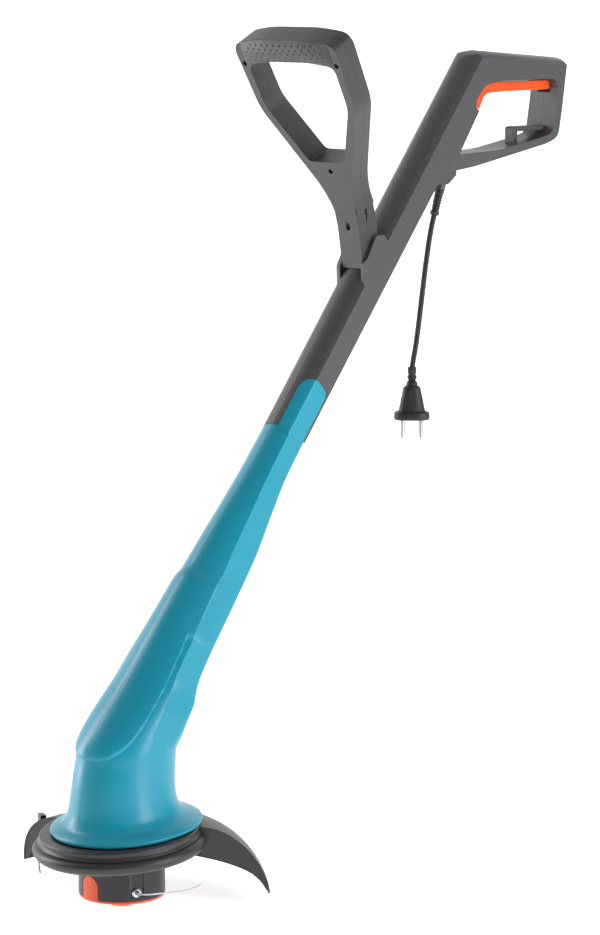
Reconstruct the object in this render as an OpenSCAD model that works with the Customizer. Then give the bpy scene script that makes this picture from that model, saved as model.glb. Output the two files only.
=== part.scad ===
// Corded string trimmer: slanted shaft, motor head with a swivelling line drum,
// rear D-handle with a trigger, front hoop handle, rear guard and a short mains lead.
// Built about the drum's axis, then moved so that the rear grip's centre is the origin.

/* [Shaft] */
// Lean of the shaft from the vertical, degrees
lean = 37.8; // [37.4:0.1:38.2]
// Width of the shaft across its flat sides
shaft_w = 39; // [38:0.5:40]
// Depth of the shaft's flat sides
shaft_d = 24.5; // [24:0.5:25]
// Height of the shaft's crowned front above its side edges
crown = 8; // [6:0.5:9]
// Wall thickness of the plastic shells
wall = 2.4; // [2:0.1:2.8]

/* [Head] */
// Outside diameter of the line drum
drum_d = 84; // [82:0.5:86]
// Height of the line drum
drum_h = 42; // [41:0.5:42]
// Diameter of the orange spool cap
cap_d = 84; // [82:0.5:86]
// Diameter of the tap knob
knob_d = 30; // [28:0.5:32]
// Diameter of the nylon cutting line
line_d = 1.6; // [1.2:0.1:1.6]
// Radius of the guard at its near end
guard_r_near = 146; // [142:1:148]
// Radius of the guard at the blade end
guard_r_far = 130; // [126:1:132]

/* [Handles] */
// Lean of the front hoop handle from the vertical, degrees
hoop_lean = 28; // [27:0.5:29]
// Depth of the hoop handle, front to rear
hoop_d = 26.5; // [26:0.5:27]
// Width of the trigger
trigger_w = 16; // [14:0.5:17]

/* [Lead] */
// Diameter of the mains lead
cord_d = 5.6; // [5:0.1:6.5]
// Distance between the plug's pins
pin_gap = 19; // [18.9:0.05:19.1]

/* [Hidden] */

grip_y = 550;
grip_z = 784;
teal = "#3fb3c9";
grey = "#5b5b5d";
dark = "#38383b";
orange = "#f0601f";
steel = "#b9bcc0";
copper = "#b5651d";
black = "#1d1d1f";
slack = 0.05;            // radial play of a screw in its hole
split = 0.1;             // half of the gap between two shells that close on each other
shaft_x = shaft_w / 2;
rear_n = 75;             // distance of the shaft's rear face from the drum's foot, square to the shaft
edge_n = rear_n + shaft_d;
crown_n = edge_n + crown;
joint_s = 474;           // place along the shaft where the head shells end in front
ear_s = 532;             // and where their side ears end
ear_t = 2.6;
spigot_s = 432;
drum_r = drum_d / 2;
cap_r = cap_d / 2 - 0.4;
flange_tilt = 4.57;
plate_top = 52.4;        // top of the guard's inner plate
guard_posts = [[35.5, -29.5], [36, 38], [-35.5, -29.5], [-36, 38]];
shaft_r = 4;
bearing_r = 11;
bearing_h = 7;
$fn = 64;

module placed() { translate([0, -grip_y, -grip_z]) children(); }

// ---------- helpers ----------
// A point of the Y-Z plane from its place along the shaft and its distance square to it
function sn(s, n) = [s * sin(lean) - n * cos(lean), s * cos(lean) + n * sin(lean)];
// Moves into the shaft's own frame: Z up along the shaft, -Y out of its crowned front
module on_shaft(s = 0, n = 0) { translate([0, sn(s, n).x, sn(s, n).y]) rotate([-lean, 0, 0]) children(); }
// Extrudes an outline of the Y-Z plane along X, from x0 over a width w
module side(x0, w) { translate([x0, 0, 0]) rotate([90, 0, 90]) linear_extrude(w) children(); }
function unit(v) = v / norm(v);
// Corner b between a and c, eased over a curve that starts reach before it
function eased(a, b, c, reach) = reach == 0 ? [b] : let (p = b + unit(a - b) * reach, q = b + unit(c - b) * reach)
    [for (i = [0:6]) let (f = i / 6) (1 - f) * (1 - f) * p + 2 * f * (1 - f) * b + f * f * q];
// Outline through [y, z, reach] corners
function rounded(p) = let (k = len(p)) [for (i = [0:k - 1])
    let (a = p[(i + k - 1) % k], b = p[i], c = p[(i + 1) % k]) each eased([a.x, a.y], [b.x, b.y], [c.x, c.y], b.z)];
function corner(p, reach) = [p.x, p.y, reach];
module tube(r0, r1, h) { difference() { cylinder(r = r1, h = h); translate([0, 0, -1]) cylinder(r = r0, h = h + 2); } }
// Screw with its head at the origin and its shank along -Z
module screw(head_r, head_h, shank_r, length) {
    difference() {
        cylinder(r = head_r, h = head_h, $fn = 24);
        for (a = [0, 90]) rotate([0, 0, a]) translate([-head_r * 0.6, -0.4, head_h - 1]) cube([head_r * 1.2, 0.8, 2]);
    }
    translate([0, 0, -length]) cylinder(r = shank_r, h = length, $fn = 24);
}
// Rings of points joined into a closed solid; every ring has the same number of points
module skin(rings) {
    m = len(rings[0]);
    k = len(rings);
    polyhedron(
        points = [for (ring = rings) each ring],
        faces = concat([[for (i = [0:m - 1]) i]], [for (j = [0:k - 2], i = [0:m - 1])
            let (a = j * m + i, b = j * m + (i + 1) % m) each [[a, a + m, b + m], [a, b + m, b]]],
            [[for (i = [m - 1:-1:0]) (k - 1) * m + i]]),
        convexity = 8);
}
// Wall between an outer and an inner grid of points, closed along its four edges
module shell(outer, inner) {
    m = len(outer[0]);
    k = len(outer);
    function quad(a, b, c, d) = [[a, b, c], [a, c, d]];
    function o(j, i) = j * m + i;
    function n(j, i) = (k + j) * m + i;
    polyhedron(
        points = concat([for (row = outer) each row], [for (row = inner) each row]),
        faces = concat(
            [for (j = [0:k - 2], i = [0:m - 2]) each quad(o(j, i), o(j, i + 1), o(j + 1, i + 1), o(j + 1, i))],
            [for (j = [0:k - 2], i = [0:m - 2]) each quad(n(j, i), n(j + 1, i), n(j + 1, i + 1), n(j, i + 1))],
            [for (j = [0:k - 2]) each quad(o(j, 0), o(j + 1, 0), n(j + 1, 0), n(j, 0))],
            [for (j = [0:k - 2]) each quad(o(j, m - 1), n(j, m - 1), n(j + 1, m - 1), o(j + 1, m - 1))],
            [for (i = [0:m - 2]) each quad(o(0, i), n(0, i), n(0, i + 1), o(0, i + 1))],
            [for (i = [0:m - 2]) each quad(o(k - 1, i), o(k - 1, i + 1), n(k - 1, i + 1), n(k - 1, i))]),
        convexity = 8);
}
// Smooth curve through points: n pieces between each pair of them
function spline(p, n = 3) = [for (i = [0:len(p) - 2]) each [for (j = [0:n - 1])
    let (f = j / n, a = p[max(i - 1, 0)], b = p[i], c = p[i + 1], d = p[min(i + 2, len(p) - 1)])
    0.5 * (2 * b + (c - a) * f + (2 * a - 5 * b + 4 * c - d) * f * f + (3 * b - a - 3 * c + d) * f * f * f)], p[len(p) - 1]];
// Sweeps a circle of radius r along pts
function heading(p, i) = unit(p[min(i + 1, len(p) - 1)] - p[max(i - 1, 0)]);
function hoop_ring(c, w, r, sides) = let (u = unit(cross(w, [1, 0, 0.001])), v = cross(w, u))
    [for (a = [0:sides - 1]) c + r * (cos(360 * a / sides) * u + sin(360 * a / sides) * v)];
module sweep(pts, r, sides) { skin([for (i = [0:len(pts) - 1]) hoop_ring(pts[i], heading(pts, i), r, sides)]); }

// ---------- head shells ----------
// Sections of the head, from the flange up to the joint with the shaft. Each is
// [y, z, tilt, half width, front flat, front crown, crown power, rear flat, rear crown, rear power]
function low(y, z, tilt, w, a, b) = [y, z, tilt, w, 4, a - 4, 1, 4, b - 4, 1];
function high(s, w, edge, top, rear, round) = let (mid = (edge + rear) / 2, p = sn(s, mid))
    [p.x, p.y, -lean, w, edge - mid, top, 2, mid - rear - round, round, 0.4];
sections = [low(6.5, 68.1, flange_tilt, 70, 75, 75), low(6.5, 71, flange_tilt, 70.4, 75.4, 75.4),
    low(6.3, 74, flange_tilt, 66, 71.5, 70), low(6, 78, flange_tilt, 58, 65, 61),
    low(5.5, 84, 4, 51.5, 61, 54.5), low(5, 92, 3.5, 48.3, 58.5, 51.5), low(4.5, 104, 2.5, 46.2, 56, 50.5),
    low(4.5, 118, 1, 44.6, 53.5, 51), low(6, 133, 0, 43.5, 51.5, 51.5),
    [9, 147, -6, 43.2, 6, 44, 1.05, 8, 40, 1], [17, 162, -14, 42.3, 10, 34, 1.2, 14, 27.5, 0.8],
    [30, 180, -24, 40.8, 12, 26, 1.5, 16, 17, 0.6], [42, 196, -32, 38.5, 13, 22, 1.8, 19, 9, 0.5],
    high(205, 36.5, 101.5, 19, 68, 5), high(240, 33.5, 100.5, 19, 69, 4),
    high(290, 30, 100, 17.5, 68, 3.5), high(345, 26, 100.3, 14, 67.5, 3.5),
    high(390, 22.8, 100, 10.5, 71.5, 3), high(430, 20.3, 99.6, 8.5, 74.5, 3),
    high(joint_s, shaft_x, edge_n, crown, rear_n, 3)];
quarter = 7;
// Half of a section, t inside its face, from the split line in front round the side to the split line behind
function half_section(c, t) = let (a = c[2], w = c[3] - t)
    [for (i = [0:2 * quarter + 1])
        let (front = i <= quarter, f = 90 * (front ? quarter - i : i - quarter - 1) / quarter, u = sin(f),
            v = front ? -c[4] - (c[5] - t) * pow(u, c[6]) : c[7] + (c[8] - t) * pow(u, c[9]))
        [max(w * cos(f), split), c[0] + v * cos(a), c[1] + v * sin(a)]];
function head_grid(t) = [for (i = [len(sections) - 1:-1:0]) half_section(sections[i], t)];
// Screw bosses of the head: [y, z, half width to the middle of the wall]
housing_bosses = [[each sn(350, 84), 24.6], [each sn(250, 82), 31.4], [-36, 132, 18.5], [49, 118, 17]];
ear = rounded([corner(sn(joint_s - 14, 78), 0), corner(sn(ear_s, 78), 10), corner(sn(ear_s, edge_n - 0.3), 10),
    corner(sn(joint_s - 14, edge_n - 0.3), 0)]);
// Half of the head's shells: s is 1 for the user's left, -1 for the right
module housing_half(s) {
    color(teal) mirror([s < 0 ? 1 : 0, 0, 0]) difference() {
        union() {
            shell(head_grid(0), head_grid(wall));
            for (p = housing_bosses) translate([split, p.x, p.y]) rotate([0, 90, 0]) cylinder(r = 4.8, h = p.z - split, $fn = 24);
            // ribs that hold the stator and the motor's upper bracket
            for (z = [97, 113]) translate([34.4, -4, z]) cube([9.4, 8, 5]);
            translate([40, -4, 73.2]) cube([10, 8, 10.8]);
            for (z = [149, 155.6]) translate([31, -8, z]) cube([10.6, 16, 2.4]);
            for (p = guard_posts) if (p.x > 0) translate([p.x, p.y, plate_top + 0.1]) cylinder(r = 4.2, h = 35.5, $fn = 24);
            side(shaft_x - ear_t, ear_t) polygon(ear);
        }
        for (p = housing_bosses) translate([-1, p.x, p.y]) rotate([0, 90, 0]) {
            cylinder(r = 1.7, h = 15, $fn = 24);
            if (s < 0) translate([0, 0, 14.4]) cylinder(r = 3.7, h = 60, $fn = 24);
        }
        for (p = guard_posts) translate([p.x, p.y, plate_top - 1]) cylinder(r = 1.7, h = 20, $fn = 24);
    }
}
module housing_left() placed() housing_half(1);
module housing_right() placed() housing_half(-1);
module housing_screws() placed() color(steel) for (p = housing_bosses)
    translate([-13.4, p.x, p.y]) rotate([0, -90, 0]) screw(3.4, 2.4, 1.7 - slack, 26);

// ---------- shaft and rear handle ----------
crown_r = (shaft_x * shaft_x + crown * crown) / (2 * crown);
grip_outline = rounded([corner(sn(joint_s + 0.3, rear_n), 0), [433, 679.3, 3], [489, 685.5, 20], [552, 696.5, 20],
    [596, 704.3, 8], [612.5, 710.5, 8], [618, 738, 10], [626.8, 795, 8], [520, 805, 10],
    [487, 806.5, 28], corner(sn(joint_s + 0.3, crown_n + 1.5), 0)]);
grip_opening = rounded([[457, 698, 5], [487.6, 742.2, 1], [482.4, 744.2, 1.5], [483, 753, 4], [497, 768, 9],
    [518, 771.6, 7], [611.5, 771.6, 10], [611.5, 755, 5],
    [604.5, 715, 9], [584, 710, 12], [521, 700, 12]]);
shaft_hollow = rounded([corner(sn(joint_s, rear_n + wall), 0), corner(sn(856, rear_n + wall), 3),
    [477.5, 742, 3], [480.3, 755.5, 4], [495, 771.6, 6],
    [514, 775, 4], [621, 774.4, 3], [622, 786, 3], [575, 789.4, 10], [520, 793.6, 14], [488, 791, 16],
    corner(sn(joint_s, edge_n - 0.4), 0)]);
bar_hollow = rounded([[464, 690.5, 2], [489, 689, 5], [552, 700, 5], [594, 706.4, 3], [583, 706.2, 4], [521, 697.3, 5]]);
post_hollow = rounded([[608, 716, 2], [612, 716, 2], [620.5, 768, 2], [614.5, 768, 2]]);
gland_outline = [[419.5, 663], [440, 668], [451, 667], [457, 671], [463.5, 676], [463.5, 683], [436, 690]];
gland_pocket = [[442, 672], [456.3, 672.2], [461.3, 690], [452, 706], [436, 692]];
cheek_outline = rounded([corner(sn(640, edge_n - 4), 0), [316, 590, 2], [333.5, 621.5, 4], [345.5, 621.5, 1],
    [350.8, 614.6, 0], corner(sn(700, edge_n - 4), 0)]);
hook_outline = [[556, 702.5], [562, 703.5], [562, 717.5], [604, 717.5], [606.5, 722.5], [558, 722.5], [556, 720.5]];
handle_holes = [sn(455, 86.5), sn(600, 86), sn(740, 86), [497, 693.5], [580, 783], [494, 788]];
trigger_pivot = [496, 772];
// What is cut away over a crowned face whose crest runs along Z at the origin, with the face looking to -Y
module crown_cut(length) {
    linear_extrude(length) difference() {
        translate([-30, -20]) square([60, 21 + crown]);
        translate([0, crown_r]) circle(r = crown_r, $fn = 128);
    }
}
// One half of a piece that is cut by the split plane
module halved(s) { intersection() { children(); translate([s > 0 ? split : -60, 150, 350]) cube([60 - split, 500, 500]); } }
module handle_walls(s) {
    in = shaft_x - wall;
    difference() {
        side(s > 0 ? split : -shaft_x, shaft_x - split) polygon(grip_outline);
        side(s > 0 ? -1 : -in, in + 1) polygon(shaft_hollow);
        for (o = [bar_hollow, post_hollow]) side(s > 0 ? -1 : -in, in + 1) polygon(o);
        side(-40, 80) polygon(grip_opening);
        on_shaft(joint_s - 10, crown_n) crown_cut(500);
        translate([0, 500, 803.4]) rotate([-94.42, 0, 0]) translate([0, 0, -150]) crown_cut(300);
    }
}
// Spigot that the head shells close over, with the collar that joins it to the walls
module spigot(s) {
    function block(x, s0, s1, n0, n1) = [x, [sn(s0, n0), sn(s1, n0), sn(s1, n1), sn(s0, n1)]];
    outer = [block(16.6, spigot_s, joint_s + 6, 78, 98), block(17.6, joint_s + 0.4, joint_s + 6, 76.5, 100)];
    difference() {
        for (b = outer) side(s > 0 ? split : -b[0], b[0] - split) polygon(b[1]);
        side(s > 0 ? -1 : -14.3, 15.3) polygon(block(0, spigot_s - 1, joint_s + 7, 80.4, 95.8)[1]);
    }
}
module handle_half(s) {
    color(grey) difference() {
        union() {
            handle_walls(s);
            spigot(s);
            for (p = handle_holes) side(s > 0 ? split : -17.5, 17.5 - split) translate(p) circle(r = 5, $fn = 24);
            side(s > 0 ? split : -9.5, 9.5 - split) polygon(gland_outline);
            side(s > 0 ? 14.8 : -shaft_x, shaft_x - 14.8) polygon(cheek_outline);
            side(s > 0 ? 11.5 : -18, 6.5) translate(trigger_pivot) circle(r = 4.5, $fn = 32);
            side(s > 0 ? split : -6, 6 - split) polygon(hook_outline);
            halved(s) at_gland() translate([0, 0, -9]) cylinder(r = 5.2, h = 9, $fn = 32);
            halved(s) on_shaft(hoop_screw_s, 97) rotate([90, 0, 0]) cylinder(r = 5, h = 6, $fn = 32);
        }
        side(-trigger_w / 2 - 0.8, trigger_w + 1.6) polygon(trigger_slot);
        // seats for the ears of the head shells
        side(s > 0 ? shaft_x - ear_t - 0.1 : -shaft_x - 1, ear_t + 1.1) offset_ear();
        for (p = handle_holes) translate([-40, p.x, p.y]) rotate([0, 90, 0]) {
            cylinder(r = 1.7, h = 52, $fn = 24);
            if (s < 0) cylinder(r = 3.7, h = 26, $fn = 24);
        }
        translate([-15.5, trigger_pivot.x, trigger_pivot.y]) rotate([0, 90, 0]) cylinder(r = 2.05, h = 31, $fn = 32);
        side(-6.5, 13) polygon(gland_pocket);
        at_gland() {
            translate([0, 0, -12]) cylinder(r = cord_d / 2 + 0.2, h = 14, $fn = 32);
            for (x = [-4.7, 4.7]) translate([x, 2.8, clamp_z + 3]) rotate([90, 0, 0]) cylinder(r = 1.05, h = 9, $fn = 16);
        }
        on_shaft(hoop_screw_s, 90) rotate([90, 0, 0]) cylinder(r = 2.05, h = 24, $fn = 24);
    }
}
trigger_slot = rounded([[486.5, 739, 0], [500, 736, 0], [516, 757, 4], [613.6, 757, 3], [613.6, 775, 3], [486.5, 775, 0]]);
module offset_ear() { polygon([for (p = ear) p + 0.15 * unit(p - sn(488, 88))]); }
// The lead leaves the shaft at the gland, heading along the gland's own +Z
gland = [0, 448.5, 661];
gland_turn = 162;
clamp_z = -25;
hoop_screw_s = 690;
module at_gland() { translate(gland) rotate([gland_turn, 0, 0]) children(); }
module handle_left() placed() handle_half(1);
module handle_right() placed() handle_half(-1);
module handle_screws() placed() color(steel) for (p = handle_holes)
    translate([-14, p.x, p.y]) rotate([0, -90, 0]) screw(3.4, 2.4, 1.7 - slack, 24);

// ---------- hoop handle ----------
hoop_split = 15;
hoop_half = [[15.6, -8, 0], [16.2, 6, 6], [21.5, 26, 12], [66.2, 112.5, 12], [71, 186, 14], [34, 191.5, 14]];
hoop_gap_half = [[24, 52.5, 5], [57.5, 114.5, 9], [59.5, 161.5, 9], [26, 166.5, 14]];
function both(p) = concat(p, [for (i = [len(p) - 1:-1:0]) [-p[i].x, p[i].y, p[i].z]]);
hoop_outline = rounded(both(hoop_half));
hoop_gap = rounded(both(hoop_gap_half));
bar_pocket = rounded(both([[56, 170, 2], [66, 172, 2], [67, 181, 6], [33, 188, 10]]));
web_pocket = rounded(both([[4, 8, 1], [12.5, 8, 1], [18, 26, 4], [29, 47, 2], [6, 49, 1]]));
hoop_holes = [[63.8, 163.5], [-63.8, 163.5], [0, 42]];
neck_front = [[307, 650], [313, 629], [316.5, 608], [319, 588.5], [320.6, 588.2], [326.7, 597], [327.5, 615],
    [325, 635], [320.2, 657]];
neck_rear = [[320.45, 657.2], [324.3, 649.9], [325.5, 642], [325.2, 635], [327.7, 615], [327.1, 597.8], [339.8, 613.8], [340.2, 625], [338.5, 640],
    [331, 662.6]];
neck_w = 29;
// The hoop's own frame: X across, Y up the hoop, Z out of its front face
module on_hoop() { translate([0, 307, 650]) rotate([90 + hoop_lean, 0, 0]) children(); }
module hoop_slab(near, far) {
    on_hoop() translate([0, 0, -far]) difference() {
        linear_extrude(far - near) difference() { polygon(hoop_outline); polygon(hoop_gap); }
        translate([0, 0, near == 0 ? -1 : wall]) linear_extrude(far - near - wall + 1)
            difference() {
                union() { polygon(bar_pocket); polygon(web_pocket); }
                for (p = hoop_holes) translate(p) circle(r = 5, $fn = 32);
            }
    }
}
module hoop_bores() {
    on_hoop() for (p = hoop_holes) translate([p.x, p.y, 0]) {
        translate([0, 0, -9]) cylinder(r = 2.8, h = 10, $fn = 32);
        translate([0, 0, -24]) cylinder(r = 1.45, h = 20, $fn = 24);
    }
    on_shaft(hoop_screw_s, 100) rotate([90, 0, 0]) {
        cylinder(r = 2.05, h = 60, $fn = 24);
        translate([0, 0, 27]) cylinder(r = 2.9, h = 40, $fn = 32);
    }
}
module hoop_front() placed() color(dark) difference() {
    union() { hoop_slab(0, hoop_split - split); side(-neck_w / 2, neck_w) polygon(neck_front); }
    hoop_bores();
}
module hoop_rear() placed() color(dark) difference() {
    union() { hoop_slab(hoop_split + split, hoop_d); side(-neck_w / 2, neck_w) polygon(neck_rear); }
    hoop_bores();
}
module hoop_screws() placed() color(steel) on_hoop() for (p = hoop_holes)
    translate([p.x, p.y, -9]) screw(2.6, 2, 1.4, 13);
module hoop_clamp_screw() placed() color(steel) on_shaft(hoop_screw_s, 127) rotate([90, 0, 0]) screw(2.8, 2.4, 2, 36);

// ---------- guard ----------
guard_from = 44;
guard_to = 185;
guard_inner = 76.2;
guard_y = -3.2;          // centre of the ring, which leans with the flange of the head
roof_t = 1.9;
roof_steps = 8;
function along(a) = (a - guard_from) / (guard_to - guard_from);
function guard_r(a) = guard_r_near + (guard_r_far - guard_r_near) * along(a);
function foot(a) = 2 + 11 * along(a);
// Point of the guard's roof at azimuth a; f runs from 0 at the ring to 90 at the foot, t goes in from its face
function roof(a, f, t) = let (r = guard_inner + (guard_r(a) - t - guard_inner) * sin(f))
    [r, foot(a) + (64 - t - foot(a)) * pow(cos(f), 1.24 - 0.5 * along(a)) + 0.08 * (r * sin(a) + guard_y) * (1 - sin(f))];
function turned(a, p) = [p.x * cos(a), p.x * sin(a) + guard_y, p.y];
function roof_grid(t) = [for (j = [20:-1:0]) let (a = guard_from + (guard_to - guard_from) * j / 20)
    [for (i = [0:roof_steps]) turned(a, roof(a, 90 * i / roof_steps, t))]];
module guard_rib(a, t, low) {
    translate([0, guard_y, 0]) rotate([90, 0, a]) translate([0, 0, a < 90 ? -t - 0.3 : 0.3]) linear_extrude(t)
        polygon(concat([for (i = [0:8]) roof(a, 90 * i / 8, 1)], low));
}
ring_section = [[66, 66.2], [76.5, 66.2], [77.5, 65], [77.5, 61.3], [82.5, 57.5], [85, 53.5], [84, 48], [80.4, 44.8],
    [78, 46.4], [81, 49.5], [82, 53], [80, 55.6], [75, 59.6], [75, 63.4], [66, 63.4]];
module guard() placed() color("#4b4a4b") difference() {
    union() {
        rotate([flange_tilt, 0, 0]) translate([0, 1.8, 0]) rotate_extrude($fn = 96) polygon(ring_section);
        shell(roof_grid(0), roof_grid(roof_t));
        guard_rib(guard_from, 2.4, [[141, 7.5], [136, 14.5], [126, 23], [115, 28.4], [100, 34.5], [79, 40.6]]);
        guard_rib(guard_to, 2.4, [[guard_r_far - 4, 15], [guard_r_far - 10, 24], [104, 32], [78, 42]]);
        translate([0, guard_y, plate_top - 2.4]) cylinder(r = 68, h = 2.4);
        difference() {
            translate([0, guard_y, plate_top - 2.4]) tube(66.6, 69, 26);
            rotate([flange_tilt, 0, 0]) translate([-100, -100, 65.2]) cube(200);
        }
        // boss that the line blade is screwed to
        at_blade() translate([-6, -6.2, -2]) cube([12, 6, 39]);
    }
    translate([0, 0, 40]) cylinder(r = 16, h = 20);
    for (p = guard_posts) translate([p.x, p.y, 40]) cylinder(r = 1.8, h = 20, $fn = 24);
    at_blade() translate([0, -7, 8]) rotate([-90, 0, 0]) cylinder(r = 1.5, h = 8, $fn = 24);
}
guard_screw_z = plate_top - 2.4;
module guard_screws() placed() color(steel) for (p = guard_posts)
    translate([p.x, p.y, guard_screw_z]) rotate([180, 0, 0]) screw(3.4, 2, 1.65, 16);
// Blade that trims the line to length, in a frame at its screw: X along the cut, Z up
module at_blade() { translate([0, guard_y, 22]) rotate([0, 0, guard_to]) translate([117, -9, 0]) rotate([0, 0, -32]) children(); }
module line_blade() placed() color(steel) at_blade() difference() {
    translate([-5, -0.15, -22]) cube([10, 1, 36]);
    translate([0, -4, 8]) rotate([-90, 0, 0]) cylinder(r = 1.5, h = 12, $fn = 24);
    translate([-5, -1, -22]) rotate([0, 30, 0]) translate([-8, 0, -6]) cube([8, 4, 20]);
}
module blade_screw() placed() color(steel) at_blade() translate([0, 0.9, 8]) rotate([-90, 0, 0]) screw(3, 1.8, 1.45, 5);

// ---------- motor ----------
motor_bolts = [for (a = [45, 135, 225, 315]) [30.5 * cos(a), 30.5 * sin(a)]];
module bolt_holes(r) { for (p = motor_bolts) translate([p.x, p.y, 0]) cylinder(r = r, h = 200, $fn = 24); }
module lower_bracket() placed() color(dark) difference() {
    union() {
        translate([0, 0, 70]) cylinder(r = 41.6, h = 3);
        translate([0, 0, 60]) cylinder(r = 14, h = 13);
    }
    translate([0, 0, 61]) cylinder(r = bearing_r, h = 20);
    translate([0, 0, 50]) cylinder(r = 8, h = 20);
    for (a = [0:45:315]) rotate([0, 0, a]) translate([35.5, 0, 60]) cylinder(r = 3.6, h = 20, $fn = 24);
}
module lower_bearing() placed() color(steel) translate([0, 0, 61]) bearing();
module upper_bearing() placed() color(steel) translate([0, 0, 157]) bearing();
// Ball bearing with its rings and shields as one turned section
module bearing() {
    rotate_extrude() polygon([[shaft_r + 0.04, 0], [6, 0], [6, 0.6], [9, 0.6], [9, 0], [bearing_r, 0], [bearing_r, bearing_h],
        [9, bearing_h], [9, bearing_h - 0.6], [6, bearing_h - 0.6], [6, bearing_h], [shaft_r + 0.04, bearing_h]]);
}
module upper_bracket() placed() color(dark) difference() {
    union() {
        translate([0, 0, 151.6]) cylinder(r = 36, h = 3.8);
        translate([0, 0, 155]) cylinder(r = 14, h = 10);
    }
    translate([0, 0, 157]) cylinder(r = bearing_r, h = 20);
    translate([0, 0, 150]) cylinder(r = 8, h = 20);
    bolt_holes(1.7);
}
module bracket_screws() placed() color(steel) for (p = motor_bolts)
    translate([p.x, p.y, 155.4]) screw(3.2, 2.2, 1.65, 66);
stator_z = 92;
stator_h = 30;
module stator_core() placed() color("#8d8f93") difference() {
    union() {
        translate([0, 0, stator_z]) tube(27, 34, stator_h);
        intersection() {
            translate([0, 0, stator_z]) tube(19.6, 28, stator_h);
            for (s = [-1, 1]) translate([-13, s > 0 ? 0 : -40, stator_z]) cube([26, 40, stator_h]);
        }
    }
    bolt_holes(1.7);
}
module field_windings() placed() color(copper) for (s = [-1, 1]) {
    for (x = [-17.5, 13.2]) translate([x, s > 0 ? 14.6 : -19.9, stator_z - 6]) cube([4.3, 5.3, stator_h + 12]);
    for (z = [stator_z - 6, stator_z + stator_h + 0.3])
        translate([-17.5, s > 0 ? 19.9 : -26.4, z]) cube([35, 6.5, 5.7]);
}
brush_z = 144;
module brush_holders() placed() color("#c9a24a") for (s = [0, 180]) rotate([0, 0, s]) difference() {
    translate([12.6, -5, brush_z - 5]) cube([16.4, 10, 12.6]);
    translate([11, -3.2, brush_z - 3.2]) cube([16, 6.4, 6.4]);
}
module carbon_brushes() placed() color("#2b2b2e") for (s = [0, 180]) rotate([0, 0, s])
    translate([11.3, -3, brush_z - 3]) cube([13, 6, 6]);
module capacitor() placed() color("#2f6fb0") on_shaft(212, 92) cylinder(r = 8, h = 26);
// Leads inside the shells: the lead's tail, live to the switch, switched live and neutral to the motor
lead_tail = gland + 29 * [0, -sin(gland_turn), cos(gland_turn)] * -1;
function in_shaft(x, s, n) = [x, sn(s, n).x, sn(s, n).y];
// The run down the shaft to one brush holder, on the side sx of the motor
function motor_run(x, sx) = [in_shaft(x, 850, 95), in_shaft(x, 760, 92.3), in_shaft(x, 600, 92.5), in_shaft(x, 460, 93.2),
    in_shaft(x, 400, 93.8), in_shaft(2.3 * x, 290, 96), [sx * 26, 30, 178], [sx * 33, 18, 158], [sx * 33, 18, 149], [sx * 24, 6.3, 145]];
module lead(points) { sweep(spline(points, 4), 1.1, 8); }
module inner_leads() placed() {
    color(black) at_gland() translate([0, 0, -29]) cylinder(r = cord_d / 2, h = 29);
    color("#8a4b2a") lead([lead_tail + [1.4, 0, 0], [3, 446, 702], in_shaft(3.5, 860, 93), [3.5, 476, 766],
        [3.5, 485, 778.4], [3.5, 494, 780.2], [3.5, 508, 781.8], [3.5, 527.9, 783]]);
    color("#8a4b2a") lead(concat([[-3.5, 527.9, 783], [-3.5, 508, 781.8], [-3.5, 494, 780.2], [-3.5, 485, 778.4], [-3.5, 476, 766]], motor_run(-3.5, -1)));
    color("#3563a8") lead(concat([lead_tail + [-1.4, 0, 0], [-1, 443, 698]], motor_run(5.5, 1)));
}

// ---------- switch and trigger ----------
button_y = 534;
module switch_body() placed() color("#222226") difference() {
    translate([-7, 528, 777]) cube([14, 28, 12.6]);
    translate([-3.2, button_y - 3.2, 770]) cube([6.4, 6.4, 16.4]);
}
module switch_button() placed() color("#c7322c") translate([-3, button_y - 3, 770.4]) cube([6, 6, 10.6]);
trigger_outline = rounded([[490.5, 743.5, 1.5], [499.8, 742.8, 1.5], [509, 758.8, 7], [535, 760, 8], [611, 760.2, 4.5],
    [611, 770, 4.5], [560, 770, 0], [512, 770, 3], [503, 777, 2], [490, 777, 2], [489, 765, 3]]);
module trigger() placed() color(orange) difference() {
    side(-trigger_w / 2, trigger_w) polygon(trigger_outline);
    translate([-20, trigger_pivot.x, trigger_pivot.y]) rotate([0, 90, 0]) cylinder(r = 2.05, h = 40, $fn = 32);
    side(-trigger_w / 2 + 2.2, trigger_w - 4.4) polygon([[514, 762.2], [606, 762.2], [606, 766.8], [514, 766.8]]);
}
module trigger_pin() placed() color(steel) translate([-15.4, trigger_pivot.x, trigger_pivot.y]) rotate([0, 90, 0])
    cylinder(r = 2, h = 30.8, $fn = 32);
// Coil spring of wire radius w, from z0 up over h
module coil(z0, h, r, w, turns, sides) {
    steps = turns * 10;
    sweep([for (i = [0:steps]) let (a = 360 * turns * i / steps) [r * cos(a), r * sin(a), z0 + w + (h - 2 * w) * i / steps]], w, sides);
}
trigger_spring_y = 592;
module trigger_spring() placed() color(steel) translate([0, trigger_spring_y, 0]) coil(770.2, 17.4, 3, 0.5, 5, 6);
module cord_clamp() placed() color(dark) at_gland() difference() {
    translate([-6.2, 2.85, clamp_z]) cube([12.4, 3, 6]);
    for (x = [-4.7, 4.7]) translate([x, 10, clamp_z + 3]) rotate([90, 0, 0]) cylinder(r = 1.05, h = 12, $fn = 16);
}
module cord_clamp_screws() placed() color(steel) at_gland() for (x = [-4.7, 4.7])
    translate([x, 5.85, clamp_z + 3]) rotate([-90, 0, 0]) screw(1.7, 1.2, 1, 9);

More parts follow.
